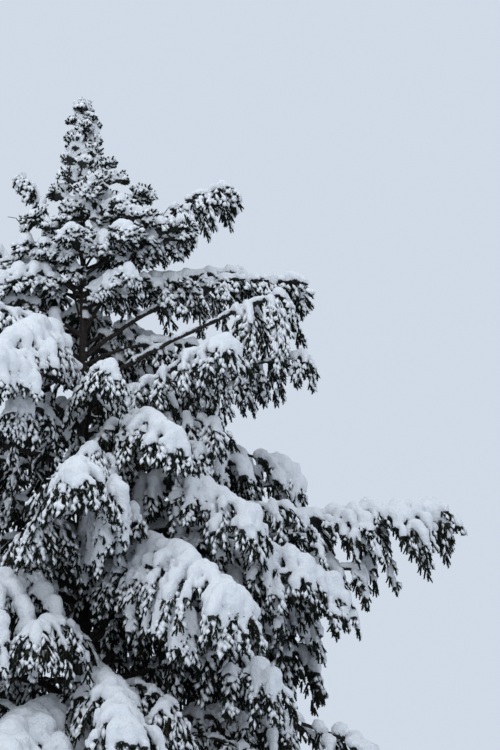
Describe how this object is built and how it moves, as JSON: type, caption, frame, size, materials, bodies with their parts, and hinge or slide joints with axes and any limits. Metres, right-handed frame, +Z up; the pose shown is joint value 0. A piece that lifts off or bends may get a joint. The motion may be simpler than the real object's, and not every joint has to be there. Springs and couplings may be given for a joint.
{
  "type": "norway spruce tree",
  "caption": "Tall snow-laden Norway spruce with a tapering trunk, long arching boughs, hanging needle sprays and banks of snow, rooted in the ground.",
  "frame": {"origin": "middle of the trunk's flat cut at ground level", "axes": "+Z up the trunk; +X to the right and +Y away for a viewer who faces the tree as the picture does"},
  "size_m": [9.0398, 8.1426, 16],
  "materials": {
    "bark": "rough, scaly grey-brown bark",
    "snowy_needles": "matt: dark green needles under lying snow"
  },
  "bodies": {
    "root": {"trunk": "bark", "fore_bottom_bough": "bark", "fore_left_bough": "bark", "fore_left_high_bough": "bark", "fore_middle_bough": "bark", "fore_right_bough": "bark", "fore_right_high_bough": "bark", "fore_right_upper_bough": "bark", "left_leader_bough": "bark", "left_long_bough": "bark", "left_middle_bough": "bark", "left_upper_bough": "bark", "lower_7_bough": "bark", "lower_8_bough": "bark", "lower_9_bough": "bark", "right_bottom_bough": "bark", "right_limb_bough": "bark", "right_long_bough": "bark", "right_lower_bough": "bark", "right_shoulder_bough": "bark", "right_skirt_bough": "bark", "right_top_bough": "bark", "right_upper_bough": "bark", "back_left_foliage": "snowy_needles", "back_left_high_foliage": "snowy_needles", "back_middle_foliage": "snowy_needles", "back_right_foliage": "snowy_needles", "back_right_high_foliage": "snowy_needles", "fore_bottom_foliage": "snowy_needles", "fore_left_foliage": "snowy_needles", "fore_left_high_foliage": "snowy_needles", "fore_middle_foliage": "snowy_needles", "fore_right_foliage": "snowy_needles", "fore_right_high_foliage": "snowy_needles", "fore_right_upper_foliage": "snowy_needles", "left_leader_foliage": "snowy_needles", "left_long_foliage": "snowy_needles", "left_middle_foliage": "snowy_needles", "left_spur_foliage": "snowy_needles", "left_upper_foliage": "snowy_needles", "lower_1_foliage": "snowy_needles", "lower_2_foliage": "snowy_needles", "lower_3_foliage": "snowy_needles", "lower_4_foliage": "snowy_needles", "lower_5_foliage": "snowy_needles", "lower_6_foliage": "snowy_needles", "lower_7_foliage": "snowy_needles", "lower_8_foliage": "snowy_needles", "lower_9_foliage": "snowy_needles", "right_bottom_foliage": "snowy_needles", "right_limb_foliage": "snowy_needles", "right_long_foliage": "snowy_needles", "right_lower_foliage": "snowy_needles", "right_shoulder_foliage": "snowy_needles", "right_skirt_foliage": "snowy_needles", "right_spur_foliage": "snowy_needles", "right_top_foliage": "snowy_needles", "right_upper_foliage": "snowy_needles", "spire_1_foliage": "snowy_needles", "spire_2_foliage": "snowy_needles"}
  },
  "joints": []
}
